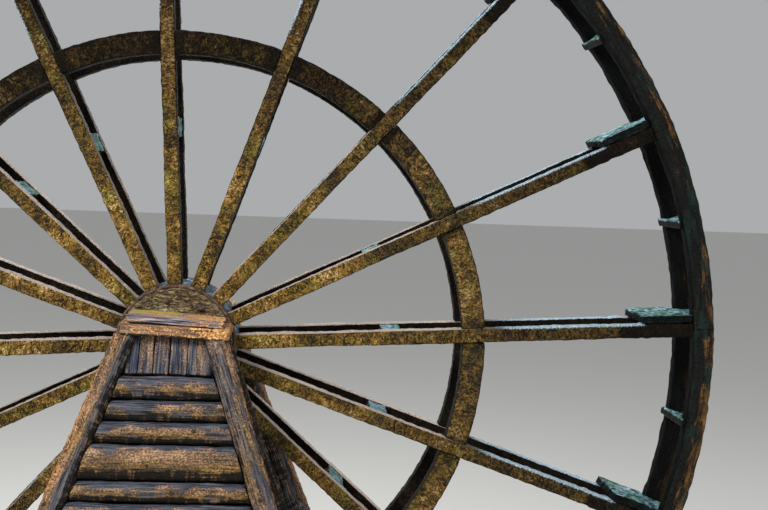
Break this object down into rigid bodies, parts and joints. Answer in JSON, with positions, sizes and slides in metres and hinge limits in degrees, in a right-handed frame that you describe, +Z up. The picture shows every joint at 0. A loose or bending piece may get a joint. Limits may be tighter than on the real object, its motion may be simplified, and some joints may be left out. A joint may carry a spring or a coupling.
{
  "type": "timber water wheel",
  "caption": "Timber water wheel with doubled spokes, middle rings, rims and paddle boards on an iron shaft, turning freely between two log-clad piers.",
  "frame": {"origin": "on the ground, under the middle of the axle", "axes": "+Z up, +Y along the axle from the front pier to the rear pier, +X to the right seen from the front"},
  "size_m": [5, 3.4002, 5.1],
  "materials": {
    "wet_spoke_timber": "rough, wet, algae-stained",
    "wet_rim_timber": "rough, wet, near black",
    "mossy_boards": "wet, mossy",
    "hub_timber": "rough end grain, damp",
    "hoop_iron": "rusty",
    "shaft_iron": "rusty",
    "corner_logs": "weathered, peeled",
    "half_logs": "weathered, split",
    "cap_planks": "rough sawn, mossy on top",
    "bearing_timber": "sawn, damp"
  },
  "bodies": {
    "piers": {"front_raking_log_left": "corner_logs", "front_raking_log_right": "corner_logs", "front_upright_log_left": "corner_logs", "front_upright_log_right": "corner_logs", "front_face_half_logs": "half_logs", "front_left_half_logs": "half_logs", "front_right_half_logs": "half_logs", "front_wheel_side_half_logs": "half_logs", "front_upright_boards": "half_logs", "front_lower_cap_plank": "cap_planks", "front_upper_cap_plank": "cap_planks", "front_bearing_beam": "bearing_timber", "front_bearing_keeper": "bearing_timber", "rear_raking_log_left": "corner_logs", "rear_raking_log_right": "corner_logs", "rear_upright_log_left": "corner_logs", "rear_upright_log_right": "corner_logs", "rear_face_half_logs": "half_logs", "rear_left_half_logs": "half_logs", "rear_right_half_logs": "half_logs", "rear_wheel_side_half_logs": "half_logs", "rear_upright_boards": "half_logs", "rear_lower_cap_plank": "cap_planks", "rear_upper_cap_plank": "cap_planks", "rear_bearing_beam": "bearing_timber", "rear_bearing_keeper": "bearing_timber"},
    "wheel": {"shaft": "shaft_iron", "hub_drum": "hub_timber", "front_hub_hoop": "hoop_iron", "rear_hub_hoop": "hoop_iron", "spacer_blocks": "mossy_boards", "front_middle_ring": "wet_spoke_timber", "rear_middle_ring": "wet_spoke_timber", "front_rim": "wet_rim_timber", "rear_rim": "wet_rim_timber", "long_paddles": "mossy_boards", "short_paddles": "mossy_boards", "spoke_line_1": "wet_spoke_timber", "spoke_line_2": "wet_spoke_timber", "spoke_line_3": "wet_spoke_timber", "spoke_line_4": "wet_spoke_timber", "spoke_line_5": "wet_spoke_timber", "spoke_line_6": "wet_spoke_timber", "spoke_line_7": "wet_spoke_timber", "spoke_line_8": "wet_spoke_timber"}
  },
  "joints": [
    {"name": "wheel_spin", "type": "hinge", "parent": "piers", "child": "wheel", "pos_m": [0, 0, 2.6], "axis": [0, 1, 0], "continuous": true}
  ]
}
